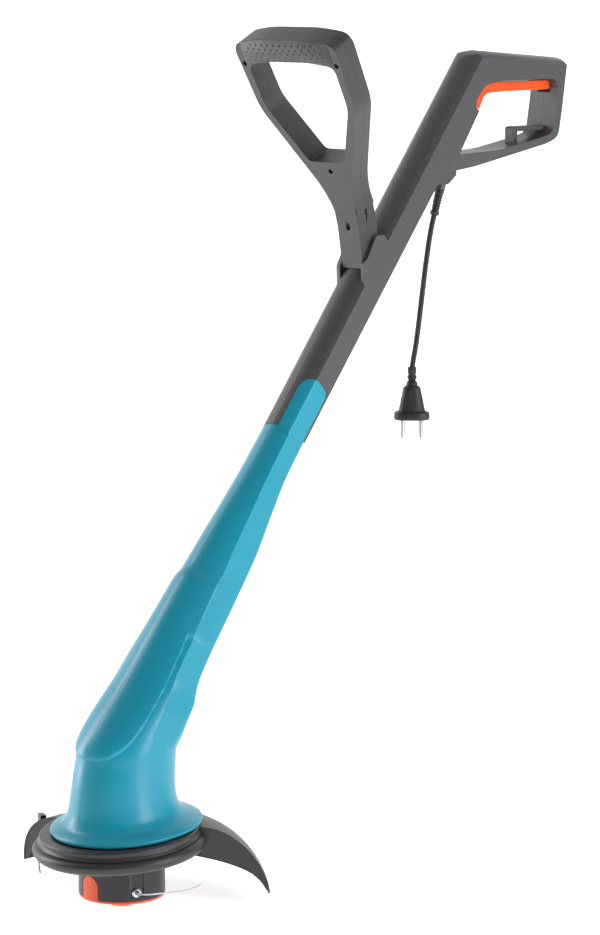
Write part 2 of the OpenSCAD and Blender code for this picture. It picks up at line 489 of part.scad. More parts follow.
// ---------- mains lead ----------
protector_h = 27;
module bend_protector() placed() color(black) at_gland() rotate_extrude() polygon([[cord_d / 2 + 0.1, 0.05], [5, 0.05],
    [5, 2.5], [4.5, 4], [4, 23], [4.9, 23.6], [4.9, 25.4], [3.6, protector_h], [cord_d / 2 + 0.1, protector_h]]);
// Places of the lead's middle, [y, z], from the gland down to the plug's neck
lead_route = [[448.5, 661], [444, 647.2], [439.8, 634.2], [436, 622], [433, 610], [430.5, 598], [428, 585], [425.5, 571],
    [423, 556], [420.5, 541], [418, 526], [415.3, 511], [412.6, 498], [410, 488], [408.4, 480]];
module power_cord() placed() color(black) sweep([for (p = spline(lead_route)) [0, p.x, p.y]], cord_d / 2, 10);
plug_y = 408;
plug_turn = 45;
plug_foot = 425.5;
// Plug sections from the foot up: [height, half length, half width]
plug_rows = [[0, 18, 12], [3, 18.5, 12.5], [7.5, 18, 12], [10, 13.6, 10], [13, 13, 9.6], [22, 11.4, 8.8], [30, 9.6, 8],
    [33, 8.8, 7.4], [35.5, 6.2, 6], [39, 5.4, 5.4], [54.5, 4.4, 4.4]];
module plug_body() placed() color(black) translate([0, plug_y, plug_foot]) rotate([0, 0, plug_turn])
    skin([for (q = plug_rows) [for (i = [0:23]) let (c = cos(15 * i), s = sin(15 * i))
        [q[1] * sign(c) * pow(abs(c), 0.8), q[2] * sign(s) * pow(abs(s), 0.8), q[0]]]]);
module plug_pins() placed() color("#c8b27a") translate([0, plug_y, plug_foot]) rotate([0, 0, plug_turn])
    for (x = [-pin_gap / 2, pin_gap / 2]) translate([x, 0, -19]) cylinder(r = 2.4, h = 19, $fn = 32);

// ---------- rotor ----------
module motor_shaft() placed() color(steel) translate([0, 0, 14.5]) cylinder(r = shaft_r, h = 149);
module armature_core() placed() color("#8d8f93") difference() {
    translate([0, 0, 93]) tube(shaft_r + 0.02, 18.8, 28);
    for (a = [0:30:330]) rotate([0, 0, a]) translate([17, 0, 107]) cube([6, 1.6, 40], center = true);
}
module armature_windings() placed() color(copper) for (z = [85.4, 121.1])
    translate([0, 0, z]) rotate_extrude() polygon(rounded([[5, 0, 1.5], [17, 0, 3], [17, 7.5, 3], [5, 7.5, 1.5]]));
module commutator() placed() color(copper) difference() {
    translate([0, 0, 136]) tube(shaft_r + 0.02, 11, 14);
    for (a = [0:15:345]) rotate([0, 0, a]) translate([11, 0, 143]) cube([1.2, 0.5, 20], center = true);
}
module cooling_fan() placed() color("#e8e6df") difference() {
    union() {
        translate([0, 0, 75]) cylinder(r = 31, h = 1.5);
        translate([0, 0, 75]) cylinder(r = 8, h = 8);
        for (a = [0:40:320]) rotate([0, 0, a]) translate([7, -0.8, 75]) cube([23, 1.6, 7]);
    }
    translate([0, 0, 70]) cylinder(r = shaft_r + 0.02, h = 20);
}
slot_r = 11.2;
eyelet_z = 12;
eyelet_turns = [-22, 158];
module line_drum() placed() color("#3c3b40") difference() {
    union() {
        difference() {
            translate([0, 0, 3.6]) cylinder(r = drum_r, h = drum_h);
            translate([0, 0, -1]) cylinder(r = drum_r - 2.2, h = drum_h + 2.1);
        }
        translate([0, 0, 24]) cylinder(r = 9, h = 26);
    }
    translate([0, 0, 20]) cylinder(r = shaft_r + 0.02, h = 40);
    translate([0, 0, 16]) rotate([90, 0, 0]) cylinder(r = slot_r, h = 100, center = true);
    translate([-slot_r, -50, -1]) cube([2 * slot_r, 100, 17]);
    for (a = eyelet_turns) rotate([0, 0, a]) {
        translate([38, 0, eyelet_z]) rotate([0, 90, 0]) cylinder(r = 3, h = 10, $fn = 32);
        translate([drum_r - 1.3, -7, 7]) cube([5, 14, 27]);
    }
}
module drum_nut() placed() color(steel) translate([0, 0, 17]) difference() {
    cylinder(r = 7.2, h = 6.9, $fn = 6);
    translate([0, 0, -1]) cylinder(r = shaft_r + 0.02, h = 10);
}
module eyelets() placed() color("#d8dadd") for (a = eyelet_turns) rotate([0, 0, a]) translate([0, 0, eyelet_z])
    rotate([0, 90, 0]) rotate_extrude($fn = 40) polygon([[1.8, 38.3], [2.95, 38.3], [2.95, 40.9], [4.8, 41], [4.8, 42], [3.6, 43],
        [2.2, 42.6], [1.8, 41.6]]);
tail_route = [[37.5, -15.2, 12], [41, -16.3, 12], [45, -16.6, 12], [49, -14, 12], [52.5, -8, 11.8], [55, 0, 11.5], [58.5, 10, 11.2],
    [62, 19, 11], [65, 29, 11.5], [66.5, 36, 12.7], [67.5, 42, 14.4]];
module line_tail() placed() color("#c9ccd0") sweep(spline(tail_route), line_d / 2, 8);

// ---------- spool and cap ----------
seat_z = 23.1;
module spring_seat() placed() color(steel) translate([0, 0, seat_z]) tube(9.5, 16.6, 1.9);
spring_top = 43;
module spool_spring() placed() color(steel) coil(seat_z + 2, spring_top - seat_z - 2.1, 11.5, 0.8, 6, 6);
module spool() placed() color("#2f2f33") difference() {
    union() {
        for (z = [9, 34]) translate([0, 0, z]) cylinder(r = 33.5, h = 2);
        translate([0, 0, 9]) cylinder(r = 20, h = 27);
    }
    translate([0, 0, 23]) cylinder(r = 17, h = 20);
    translate([0, 0, 0]) cylinder(r = 17, h = 20);
    translate([0, 0, 10]) cylinder(r = 9.5, h = 20);
    for (a = [0, 180]) rotate([0, 0, a]) translate([31.5, 0, 34]) cube([6, 2.4, 10], center = true);
}
module line_winding() placed() color("#d9dbe0") translate([0, 0, 11.1]) rotate_extrude()
    polygon(rounded([[20.1, 0, 1], [30, 0, 3], [30, 22.8, 3], [20.1, 22.8, 1]]));
module tap_knob() placed() color(orange) rotate_extrude() polygon([[0, -10], [8, -10], [12, -8.8], [knob_d / 2, -5.5],
    [knob_d / 2, 3.9], [16.8, 3.9], [16.8, 19.9], [14, 19.9], [14, 6], [12, 3], [12, -5], [8, -7.4], [0, -7.4]]);
cap_h = 3.4;
module spool_cap() placed() color(orange) difference() {
    union() {
        rotate_extrude(convexity = 4) polygon([[knob_d / 2 + 0.5, 0], [38, 0], [cap_r, 1.2], [cap_r, cap_h], [knob_d / 2 + 0.5, cap_h]]);
        translate([0, 0, cap_h - 0.5]) tube(35.4, 37.2, 8);
    }
    translate([-12.5, -50, cap_h]) cube([25, 100, 20]);
}
// One latch of the cap; s is -1 for the front one and 1 for the rear one
module latch(s) {
    color(orange) intersection() {
        translate([0, 0, cap_h + 0.2]) tube(drum_r - 3.8, drum_r + 0.2, 40);
        union() {
            translate([-10.4, s > 0 ? 0 : -50, 0]) cube([20.8, 50, 16]);
            translate([0, s > 0 ? 50 : 0, 16]) rotate([90, 0, 0]) cylinder(r = 10.4, h = 50);
        }
    }
}
module latch_front() placed() latch(-1);
module latch_rear() placed() latch(1);

housing_left();
housing_right();
housing_screws();
handle_left();
handle_right();
handle_screws();
hoop_front();
hoop_rear();
hoop_screws();
hoop_clamp_screw();
guard();
guard_screws();
line_blade();
blade_screw();
lower_bracket();
lower_bearing();
upper_bracket();
upper_bearing();
bracket_screws();
stator_core();
field_windings();
brush_holders();
carbon_brushes();
capacitor();
inner_leads();
switch_body();
switch_button();
trigger();
trigger_pin();
trigger_spring();
cord_clamp();
cord_clamp_screws();
bend_protector();
power_cord();
plug_body();
plug_pins();
motor_shaft();
armature_core();
armature_windings();
commutator();
cooling_fan();
line_drum();
drum_nut();
eyelets();
line_tail();
spring_seat();
spool_spring();
spool();
line_winding();
tap_knob();
spool_cap();
latch_front();
latch_rear();
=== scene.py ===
import math

import bmesh
import bpy
import numpy as np
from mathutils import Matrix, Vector


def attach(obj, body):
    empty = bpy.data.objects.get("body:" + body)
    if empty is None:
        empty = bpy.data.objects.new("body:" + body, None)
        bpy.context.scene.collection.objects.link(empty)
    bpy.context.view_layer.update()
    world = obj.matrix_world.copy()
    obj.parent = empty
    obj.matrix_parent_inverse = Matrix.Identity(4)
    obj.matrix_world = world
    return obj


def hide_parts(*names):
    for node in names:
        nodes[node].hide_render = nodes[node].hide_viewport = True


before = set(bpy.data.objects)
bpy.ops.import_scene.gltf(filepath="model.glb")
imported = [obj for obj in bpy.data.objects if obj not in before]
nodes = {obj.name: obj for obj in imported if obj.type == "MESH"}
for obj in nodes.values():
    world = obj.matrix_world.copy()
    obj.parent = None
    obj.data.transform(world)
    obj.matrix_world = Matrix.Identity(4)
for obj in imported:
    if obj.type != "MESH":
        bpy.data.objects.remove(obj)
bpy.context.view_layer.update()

scene = bpy.context.scene

# The machine is drawn in millimetres from the drum's foot; the row's origin is the rear grip's centre.
gripPlace = np.array([0, 550, 784])
lean = math.radians(37.8)
guardCentre = np.array([0, -3.2, 0])


def place(points):
    # millimetres about the drum's foot, moved to the grip and turned into metres
    return (np.asarray(points, float) - gripPlace) * 0.001


def sn(s, n):
    # a point of the Y-Z plane, s along the leaning shaft and n square to it
    return s * math.sin(lean) - n * math.cos(lean), s * math.cos(lean) + n * math.sin(lean)


def smooth(value, low, high):
    # 0 below low, 1 above high, with a level start and end
    f = np.clip((value - low) / (high - low), 0, 1)
    return f * f * (3 - 2 * f)


def splined(points, steps):
    # Catmull-Rom cubic between neighbouring rows: half of 2b + (c-a)f + (2a-5b+4c-d)f2 + (3b-a-3c+d)f3
    p = np.asarray(points, float)
    t = np.linspace(0, len(p) - 1, (len(p) - 1) * steps + 1)
    i = np.minimum(t.astype(int), len(p) - 2)
    f = (t - i).reshape(-1, *[1] * (p.ndim - 1))
    a, b, c, d = p[np.maximum(i - 1, 0)], p[i], p[i + 1], p[np.minimum(i + 2, len(p) - 1)]
    return 0.5 * (2 * b + (c - a) * f + (2 * a - 5 * b + 4 * c - d) * f**2 + (3 * b - a - 3 * c + d) * f**3)


def rounded(corners, steps=6):
    # outline through [x, y, reach] corners, each eased by the parabola that leaves its sides reach before it
    p = np.array([c[:2] for c in corners], float)
    reach = np.array([c[2] for c in corners], float)[:, None]
    before, after = np.roll(p, 1, 0) - p, np.roll(p, -1, 0) - p
    start = p + before / np.linalg.norm(before, axis=1)[:, None] * reach
    end = p + after / np.linalg.norm(after, axis=1)[:, None] * reach
    f = np.linspace(0, 1, steps + 1)[None, :, None]
    curve = (1 - f) ** 2 * start[:, None] + 2 * f * (1 - f) * p[:, None] + f**2 * end[:, None]
    flat = curve.reshape(-1, 2)
    return flat[np.linalg.norm(flat - np.roll(flat, 1, 0), axis=1) > 1e-4]


# ---------- meshes ----------
def gridFaces(rows, columns, closed=False):
    # quads between neighbouring rows and columns, with the last column joined to the first when closed
    index = np.arange(rows * columns).reshape(rows, columns)
    if closed:
        index = np.concatenate([index, index[:, :1]], 1)
    return np.stack([index[:-1, :-1], index[:-1, 1:], index[1:, 1:], index[1:, :-1]], -1).reshape(-1, 4)


def buildMesh(name, parts):
    # parts are (points in metres, faces) pairs; they become one mesh with its normals outwards
    points = np.concatenate([np.asarray(p, float).reshape(-1, 3) for p, _ in parts])
    faces, offset = [], 0
    for p, f in parts:
        faces += [[int(v) + offset for v in face] for face in f]
        offset += len(np.asarray(p).reshape(-1, 3))
    mesh = bpy.data.meshes.new(name)
    mesh.from_pydata(points.tolist(), [], faces)
    work = bmesh.new()
    work.from_mesh(mesh)
    bmesh.ops.remove_doubles(work, verts=work.verts, dist=1e-6)
    bmesh.ops.recalc_face_normals(work, faces=work.faces)
    work.to_mesh(mesh)
    work.free()
    return mesh


def newPiece(name, parts, body, material, replaces=(), sharp=38):
    piece = bpy.data.objects.new(name, buildMesh(name, parts))
    scene.collection.objects.link(piece)
    return finishPiece(piece, body, material, replaces, sharp)


def finishPiece(piece, body, material, replaces, sharp, bevel=0):
    # smooth faces with sharp edges past an angle, its material, and what it rides on and stands for
    if bevel:
        rounding = piece.modifiers.new("softEdges", "BEVEL")
        rounding.width = bevel * 0.001
        rounding.segments = 3
        rounding.limit_method = "ANGLE"
        rounding.angle_limit = math.radians(32)
        rounding.use_clamp_overlap = True
        rounding.harden_normals = True
    piece.data.polygons.foreach_set("use_smooth", np.ones(len(piece.data.polygons), bool))
    piece.data.set_sharp_from_angle(angle=math.radians(sharp))
    piece.data.materials.clear()
    piece.data.materials.append(material)
    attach(piece, body)
    if replaces:
        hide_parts(*replaces)
    return piece


def softened(name, node, body, material, bevel, flatAngle=2):
    # a merged copy of a CAD node, its flat faces dissolved, so that its edges can be rounded
    mesh = nodes[node].data.copy()
    work = bmesh.new()
    work.from_mesh(mesh)
    bmesh.ops.remove_doubles(work, verts=work.verts, dist=2e-6)
    bmesh.ops.dissolve_limit(work, angle_limit=math.radians(flatAngle), verts=work.verts, edges=work.edges)
    work.to_mesh(mesh)
    work.free()
    piece = bpy.data.objects.new(name, mesh)
    scene.collection.objects.link(piece)
    return finishPiece(piece, body, material, [node], 38, bevel)


def tube(path, radii, sides):
    # a ring of the given radius square to the path at each of its points, with a flat cap at both ends
    path = np.asarray(path, float)
    radii = np.broadcast_to(np.asarray(radii, float), len(path))
    ahead = np.gradient(path, axis=0)
    ahead /= np.linalg.norm(ahead, axis=1)[:, None]
    across = np.cross(ahead, [1, 0, 0.001])
    across /= np.linalg.norm(across, axis=1)[:, None]
    up = np.cross(ahead, across)
    a = np.linspace(0, 2 * np.pi, sides, endpoint=False)[None, :, None]
    points = path[:, None] + radii[:, None, None] * (np.cos(a) * across[:, None] + np.sin(a) * up[:, None])
    last = (len(path) - 1) * sides
    return points.reshape(-1, 3), [*gridFaces(len(path), sides, True), range(sides), range(last, last + sides)]


def aboutX(degrees):
    # rotation matrix about the X axis: rows 1 0 0, 0 c -s, 0 s c
    c, s = math.cos(math.radians(degrees)), math.sin(math.radians(degrees))
    return np.array([[1, 0, 0], [0, c, -s], [0, s, c]])


def turned(profile, steps, move=(0, 0, 0), spin=None):
    # a closed [radius, height] outline carried once round the Z axis, then tilted and moved
    p = np.asarray(profile, float)
    a = np.radians(np.linspace(0, 360, steps, endpoint=False))[:, None]
    points = np.stack([p[:, 0] * np.cos(a), p[:, 0] * np.sin(a), p[:, 1] + 0 * a], -1)
    if spin is not None:
        points = points @ spin.T
    points = points + np.array(move)
    rows = np.concatenate([points, points[:1]])
    return rows.reshape(-1, 3), list(gridFaces(len(rows), len(p), True))


def prism(outline, low, high, lay):
    # an outline drawn out from low to high; lay turns [u, v, depth] into millimetres
    p = np.asarray(outline, float)
    ends = [np.column_stack([p, np.full(len(p), d)]) for d in (low, high)]
    points = lay(np.concatenate(ends))
    return place(points), [*gridFaces(2, len(p), True), range(len(p)), range(len(p), 2 * len(p))]


def sideways(p):
    # outlines of the Y-Z plane drawn out along X
    return p[:, [2, 0, 1]]


# ---------- shader maths ----------
class Link:
    # a socket that Math nodes are added to by + - * and the reflected forms
    def __init__(self, shader, socket):
        self.shader, self.socket = shader, socket

    def join(self, kind, left, right):
        return self.shader.add("ShaderNodeMath", {"operation": kind}, left, right)

    def __add__(self, other):
        return self.join("ADD", self, other)

    def __radd__(self, other):
        return self.join("ADD", other, self)

    def __sub__(self, other):
        return self.join("SUBTRACT", self, other)

    def __rsub__(self, other):
        return self.join("SUBTRACT", other, self)

    def __mul__(self, other):
        return self.join("MULTIPLY", self, other)

    def __rmul__(self, other):
        return self.join("MULTIPLY", other, self)

    def clamp(self):
        return self.shader.add("ShaderNodeClamp", {}, self)


class Shader:
    def __init__(self, name):
        self.material = bpy.data.materials.new(name)
        self.material.use_nodes = True
        self.tree = self.material.node_tree
        self.tree.nodes.clear()
        self.place = self.add("ShaderNodeTexCoord", {}, output="Object")

    def add(self, kind, settings, *values, output=0, **named):
        node = self.tree.nodes.new(kind)
        for key, value in settings.items():
            if key == "stops":
                ramp = node.color_ramp
                for i, (position, colour) in enumerate(value):
                    stop = ramp.elements[i] if i < 2 else ramp.elements.new(position)
                    stop.position, stop.color = position, colour
            else:
                setattr(node, key, value)
        for key, value in [*enumerate(values), *named.items()]:
            socket = node.inputs[key.replace("_", " ") if isinstance(key, str) else key]
            if isinstance(value, Link):
                self.tree.links.new(value.socket, socket)
            elif value is not None:
                socket.default_value = value
        return Link(self, node.outputs[output])

    def noise(self, scale, detail=2, roughness=0.5, stretch=None):
        place = self.place
        if stretch:
            place = self.add("ShaderNodeMapping", {}, place, Scale=stretch)
        return self.add("ShaderNodeTexNoise", {}, Vector=place, Scale=scale, Detail=detail, Roughness=roughness)

    def mix(self, factor, a, b):
        node = self.tree.nodes.new("ShaderNodeMix")
        node.data_type = "RGBA"
        for socket, value in ((node.inputs[0], factor), (node.inputs[6], a), (node.inputs[7], b)):
            if isinstance(value, Link):
                self.tree.links.new(value.socket, socket)
            else:
                socket.default_value = value
        return Link(self, node.outputs[2])

    def ramp(self, factor, low, high):
        return self.add("ShaderNodeMapRange", {"clamp": True}, factor, low, high, 0.0, 1.0)

    def finish(self, colour, roughness, height=None, depth=0.0002, strength=0.4, **constants):
        shader = self.tree.nodes.new("ShaderNodeBsdfPrincipled")
        for name, value in [("Base Color", colour), ("Roughness", roughness), *constants.items()]:
            name = name.replace("_", " ")
            if isinstance(value, Link):
                self.tree.links.new(value.socket, shader.inputs[name])
            else:
                shader.inputs[name].default_value = value
        if height is not None:
            bump = self.add("ShaderNodeBump", {}, Height=height, Distance=depth, Strength=strength,
                output="Normal")
            self.tree.links.new(bump.socket, shader.inputs["Normal"])
        out = self.tree.nodes.new("ShaderNodeOutputMaterial")
        self.tree.links.new(shader.outputs[0], out.inputs[0])
        return self.material


def rgb(text):
    # linear colour of a six-digit screen colour
    c = np.array([int(text[i:i + 2], 16) / 255 for i in (0, 2, 4)])
    return (*np.where(c < 0.04045, c / 12.92, ((c + 0.055) / 1.055) ** 2.4).tolist(), 1)


def moulded(name, base, dark, light, rough=0.42, grain=2600, depth=0.00006, spread=0.35, coat=0.0,
        specular=0.5):
    # spark-eroded plastic: fine grain, slow flow marks in the colour, pale rubbed patches and light scuffs
    s = Shader(name)
    cloud = s.noise(9, 4, 0.55)
    flow = s.noise(28, 3, 0.5, (1, 1, 0.25))
    fine = s.noise(grain, 2, 0.6)
    tone = s.mix(s.ramp(cloud, 0.3, 0.7) * spread, rgb(base), rgb(dark))
    rubbed = s.ramp(flow, 0.5, 0.85) * s.ramp(s.noise(90, 4, 0.6), 0.45, 0.7)
    tone = s.mix(rubbed * 0.14, tone, rgb(light))
    scuff = s.ramp(s.noise(420, 2, 0.5, (1, 1, 0.1)), 0.62, 0.75)
    roughness = (rough + 0.1 * (cloud - 0.5) + 0.08 * (fine - 0.5) + 0.05 * scuff).clamp()
    return s.finish(tone, roughness, fine + 0.4 * flow, depth, 0.5, Coat_Weight=coat, Specular_IOR_Level=specular)


def rubber(name, base, light):
    # matt rubber with a fine grain and a pale bloom in places
    s = Shader(name)
    cloud, fine = s.noise(30, 3, 0.6), s.noise(3200, 2, 0.6)
    bloom = s.ramp(s.noise(90, 4, 0.7), 0.55, 0.75)
    tone = s.mix(bloom * 0.35, rgb(base), rgb(light))
    return s.finish(tone, (0.55 + 0.2 * (cloud - 0.5)).clamp(), fine, 0.00005, 0.5)


def metal(name, base, dark, rough=0.3, stretch=(1, 1, 12), tarnish=0.4):
    # brushed metal, dulled in patches
    s = Shader(name)
    brushed, cloud = s.noise(700, 2, 0.6, stretch), s.noise(60, 4, 0.6)
    tone = s.mix(s.ramp(cloud, 0.4, 0.75) * tarnish, rgb(base), rgb(dark))
    roughness = (rough + 0.2 * (brushed - 0.5) + 0.1 * cloud).clamp()
    return s.finish(tone, roughness, brushed, 0.00003, 0.35, Metallic=1.0)


def wound(name, base, dark, pitch, metallic):
    # enamelled wire laid side by side: fine ridges with a darker line between the turns
    s = Shader(name)
    ridge = s.add("ShaderNodeTexWave", {"bands_direction": "Z"}, Vector=s.place, Scale=pitch, Distortion=0.6,
        output="Fac")
    tone = s.mix(s.ramp(ridge, 0.0, 0.5), rgb(dark), rgb(base))
    return s.finish(tone, (0.28 + 0.2 * s.noise(200, 2)).clamp(), ridge, 0.0004, 0.6, Metallic=metallic)


def stacked(name, base, dark):
    # punched sheets: thin dark lines between the layers
    s = Shader(name)
    layer = s.add("ShaderNodeTexWave", {"bands_direction": "Z"}, Vector=s.place, Scale=320.0, output="Fac")
    rust = s.ramp(s.noise(80, 4, 0.6), 0.58, 0.75)
    tone = s.mix(rust * 0.4, s.mix(layer, rgb(dark), rgb(base)), rgb("6b4a33"))
    return s.finish(tone, (0.4 + 0.25 * rust).clamp(), layer, 0.0002, 0.5, Metallic=0.85)


print("materials")
teal = moulded("tealShell", "1896b0", "168aa3", "52b8cb", 0.36, 2400, 0.00004, 0.3, 0.06, 0.4)
grey = moulded("greyShell", "4a4a4c", "434345", "77777a", 0.44, 1500, 0.00008, 0.4)
darkShell = moulded("darkShell", "3e3f41", "37383a", "6c6d70", 0.46, 1400, 0.00008, 0.4)
guardShell = moulded("guardShell", "343232", "2c2a2a", "625e5d", 0.42, 1500, 0.00007, 0.4)
orange = moulded("orangeShell", "ee5417", "cf4410", "ff9a60", 0.34, 2400, 0.00004, 0.3, 0.1)
drumShell = moulded("drumShell", "2b2a2c", "222123", "5e5c5c", 0.4, 1800, 0.00006, 0.4)
inner = moulded("innerPlastic", "2b2b2e", "222224", "55565a", 0.45, 1700)
fan = moulded("fanPlastic", "dcd9cf", "c6c2b5", "f2f0ea", 0.45, 1700)
capacitorCase = moulded("capacitorCase", "2f6fb0", "255c94", "7fb0dd", 0.35, 2200, 0.00003)
buttonPlastic = moulded("buttonPlastic", "c7322c", "a02722", "e8827c", 0.38, 2000)
blackRubber = rubber("blackRubber", "1c1c1e", "4a4a4c")
steel = metal("steel", "b9bcc0", "7c7f84", 0.28)
bearingSteel = metal("bearingSteel", "c9ccd1", "8c9096", 0.18, (1, 1, 1), 0.25)
lamination = stacked("lamination", "8d8f93", "5c5e62")
copperWire = wound("copperWire", "b8692c", "6d3312", 260.0, 0.8)
copperBar = metal("copperBar", "c77a3c", "8a4b22", 0.25, (1, 1, 0.1))
brass = metal("brass", "cdb06c", "8f7440", 0.26)
graphite = moulded("graphite", "2a2a2d", "1d1d20", "5c5c60", 0.5, 900, 0.00006)
aluminium = metal("aluminium", "d9dce0", "a3a6ab", 0.22, (12, 1, 1), 0.25)
nylon = moulded("nylonLine", "dfe2e6", "c3c8ce", "ffffff", 0.22, 1200, 0.00002)
leadCover = moulded("leadCover", "6d4630", "4d6a94", "9a7a66", 0.4, 1200, 0.00003, 0.9)

# ---------- camera ----------
camera = {"place": (2.3856, -2.6913, 0.1188), "azimuth": 45, "elevation": 8.6, "lens": 130.9}
print("camera")
cam = bpy.data.objects.new("camera", bpy.data.cameras.new("camera"))
scene.collection.objects.link(cam)
scene.camera = cam
azimuth, elevation = math.radians(camera["azimuth"]), math.radians(camera["elevation"])
level = math.cos(elevation)
back = Vector((math.sin(azimuth) * level, -math.cos(azimuth) * level, math.sin(elevation)))
cam.location = camera["place"]
cam.rotation_mode = "QUATERNION"
cam.rotation_quaternion = (-back).to_track_quat("-Z", "Y")
cam.data.lens = camera["lens"]
cam.data.sensor_width = 36
cam.data.sensor_fit = "AUTO"
cam.data.clip_start, cam.data.clip_end = 0.1, 50

# ---------- mains lead ----------
lead = {"diameter": 5.6, "sides": 20, "gland": (0, 448.5, 661), "plugFoot": (0, 408, 425.5), "plugTurn": 45}
# [y, z] down the lead, from the gland to the plug's sleeve
leadRoute = [[448.5, 661], [444, 647.2], [439.8, 634.2], [436, 622], [433, 610], [430.5, 598], [428, 585],
    [425.5, 571], [423, 556], [420.5, 541], [418, 526], [415.3, 511], [412.6, 498], [410, 488], [408.4, 480]]
print("mains lead")
leadLine = splined(leadRoute, 8)
leadPath = place(np.column_stack([np.zeros(len(leadLine)), leadLine]))
powerCord = newPiece("powerCord", [tube(leadPath, lead["diameter"] / 2000, lead["sides"])], "body",
    blackRubber, ["power_cord"])

# [height, half length, half width] of the plug's moulding, from its face to the end of its sleeve
plugRows = [[0, 17.4, 11.4], [0.5, 18, 12], [3, 18.5, 12.5], [7, 18.1, 12.1], [7.7, 17.4, 11.6],
    [8.4, 15.2, 10.8], [10, 13.6, 10], [13, 13, 9.6], [22, 11.4, 8.8], [30, 9.6, 8], [33, 8.8, 7.4],
    [34.4, 7.6, 6.8], [35.5, 6.2, 6], [39, 5.4, 5.4], [54.5, 4.4, 4.4]]
plugPress = {"ribDepth": 0.45, "ribPitch": 3.2, "sleeveDepth": 3.4, "sleevePitch": 5, "power": 0.8}


def plugBody(rows, foot, turn, sides=64):
    # superellipse rings, half length and half width by height, with grip ribs and sleeve rings pressed in
    r = splined(rows, 6)
    a = np.linspace(0, 2 * np.pi, sides, endpoint=False)[None, :]
    height = r[:, :1]
    press = plugPress
    ribs = press["ribDepth"] * np.clip(np.sin(height * 2 * np.pi / press["ribPitch"]), 0, 1)
    ribs = ribs * smooth(height, 13, 15) * smooth(-height, -30, -28)
    sleeve = press["sleeveDepth"] * np.clip(np.sin(height * 2 * np.pi / press["sleevePitch"]), 0, 1)
    sleeve = sleeve * smooth(height, 38, 40) * smooth(-height, -53, -51)
    wave = 1 - (ribs + sleeve) / 10
    x = r[:, 1:2] * np.sign(np.cos(a)) * np.abs(np.cos(a)) ** press["power"] * wave
    y = r[:, 2:3] * np.sign(np.sin(a)) * np.abs(np.sin(a)) ** press["power"] * wave
    c, s = math.cos(turn), math.sin(turn)
    points = np.stack([x * c - y * s, x * s + y * c, height + 0 * x], -1) + np.array(foot)
    last = (len(r) - 1) * sides
    faces = [*gridFaces(len(r), sides, True), range(sides), range(last, last + sides)]
    return place(points.reshape(-1, 3)), faces


plug = newPiece("plugMoulding", [plugBody(plugRows, lead["plugFoot"], math.radians(lead["plugTurn"]))], "body",
    blackRubber, ["plug_body"])
# bend protector: a long cone cut by rings, with a collar at each end
protector = {"bore": 2.85, "height": 27, "rings": 6, "turn": 162}
ringAt = np.linspace(5, 22, protector["rings"] * 4 + 1)
ringR = 4.5 - 0.5 * (ringAt - 4) / 19 - 0.45 * (np.arange(len(ringAt)) % 4 == 2)
protectorProfile = [[protector["bore"], 0.05], [4.7, 0.05], [5, 0.4], [5, 2.2], [4.7, 2.6], [4.5, 4],
    *np.column_stack([ringR, ringAt]).tolist(), [4, 23], [4.8, 23.4], [4.9, 24], [4.8, 25.2], [4.3, 26],
    [3.6, protector["height"]], [protector["bore"], protector["height"]]]
bendPoints, bendFaces = turned(protectorProfile, 64, move=lead["gland"], spin=aboutX(protector["turn"]))
newPiece("bendSleeve", [(place(bendPoints), bendFaces)], "body", blackRubber, ["bend_protector"])

# ---------- cutting line ----------
# [x, y, z] from the eyelet to the cut end
tailRoute = [[37.5, -15.2, 12], [41, -16.3, 12], [45, -16.6, 12], [49, -14, 12], [52.5, -8, 11.8], [55, 0, 11.5],
    [58.5, 10, 11.2], [62, 19, 11], [65, 29, 11.5], [66.5, 36, 12.7], [67.5, 42, 14.4]]
tailPath = place(splined(tailRoute, 6))
lineTail = newPiece("lineTail", [tube(tailPath, 0.0008, 12)], "rotor", nylon, ["line_tail"])

# ---------- head shells ----------
shell = {"wall": 2.4, "rows": 14, "columns": 72, "lipRise": 2.3}


def low(y, z, tilt, w, a, b):
    # a section of the round base, a long to the front and b to the rear
    return [y, z, tilt, w, 4, a - 4, 1, 4, b - 4, 1]


def high(s, w, edge, top, rear, roundness):
    # a section of the shaft, from n = rear to n = edge, with a crown of height top on its front
    middle = (edge + rear) / 2
    return [*sn(s, middle), -37.8, w, edge - middle, top, 2, middle - rear - roundness, roundness, 0.4]


# [y, z, tilt, half width, front flat, front crown, crown power, rear flat, rear crown, rear power]
sections = [low(6.5, 68.1, 4.57, 70, 75, 75), low(6.5, 71, 4.57, 70.4, 75.4, 75.4),
    low(6.3, 74, 4.57, 66, 71.5, 70),
    low(6, 78, 4.57, 58, 65, 61), low(5.5, 84, 4, 51.5, 61, 54.5), low(5, 92, 3.5, 48.3, 58.5, 51.5),
    low(4.5, 104, 2.5, 46.2, 56, 50.5), low(4.5, 118, 1, 44.6, 53.5, 51), low(6, 133, 0, 43.5, 51.5, 51.5),
    [9, 147, -6, 43.2, 6, 44, 1.05, 8, 40, 1], [17, 162, -14, 42.3, 10, 34, 1.2, 14, 27.5, 0.8],
    [30, 180, -24, 40.8, 12, 26, 1.5, 16, 17, 0.6], [42, 196, -32, 38.5, 13, 22, 1.8, 19, 9, 0.5],
    high(205, 36.5, 101.5, 19, 68, 5), high(240, 33.5, 100.5, 19, 69, 4), high(290, 30, 100, 17.5, 68, 3.5),
    high(345, 26, 100.3, 14, 67.5, 3.5), high(390, 22.8, 100, 10.5, 71.5, 3), high(430, 20.3, 99.6, 8.5, 74.5, 3),
    high(474, 19.5, 99.5, 8, 75, 3)]


